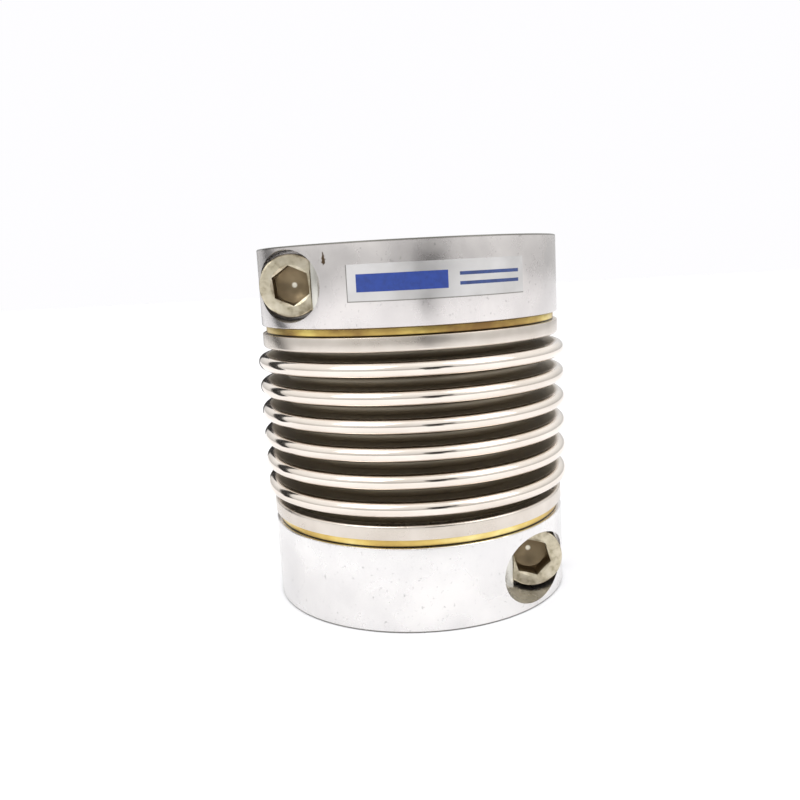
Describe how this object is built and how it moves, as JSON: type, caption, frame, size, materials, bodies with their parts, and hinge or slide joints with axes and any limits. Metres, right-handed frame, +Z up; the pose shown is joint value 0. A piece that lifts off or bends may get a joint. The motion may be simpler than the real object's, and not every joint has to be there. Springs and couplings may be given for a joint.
{
  "type": "bellows coupling",
  "caption": "Flexible shaft coupling: two slit clamp hubs with cap screws, joined by a thin steel bellows with U-shaped convolutions.",
  "frame": {"origin": "centre of the lower hub's end face, on the axis of rotation", "axes": "+Z up the axis of rotation, through both bores; -Y is the side that both screw heads face"},
  "size_m": [0.0936, 0.0936, 0.1058],
  "materials": {
    "hub_aluminium": "satin, turned",
    "bellows_steel": "satin, formed from stainless tube",
    "collar_steel": "satin, turned",
    "ring_brass": "tarnished, turned",
    "screw_steel": "dull plated, cold headed",
    "pin_steel": "ground",
    "label_film": "clear film with plain blue marks"
  },
  "bodies": {
    "lower_end": {"lower_hub": "hub_aluminium", "lower_ring": "ring_brass", "lower_collar": "collar_steel", "lower_clamp_screw": "screw_steel", "lower_opening_pin": "pin_steel", "bellows": "bellows_steel"},
    "upper_end": {"upper_hub": "hub_aluminium", "upper_ring": "ring_brass", "upper_collar": "collar_steel", "upper_clamp_screw": "screw_steel", "upper_opening_pin": "pin_steel", "label": "label_film"}
  },
  "joints": [
    {"name": "axial_flex", "type": "slide", "parent": "lower_end", "child": "upper_end", "axis": [0, 0, 1], "range_m": [-0.001, 0.001], "stiffness_N_per_m": 65000, "deforming": ["bellows"]}
  ]
}
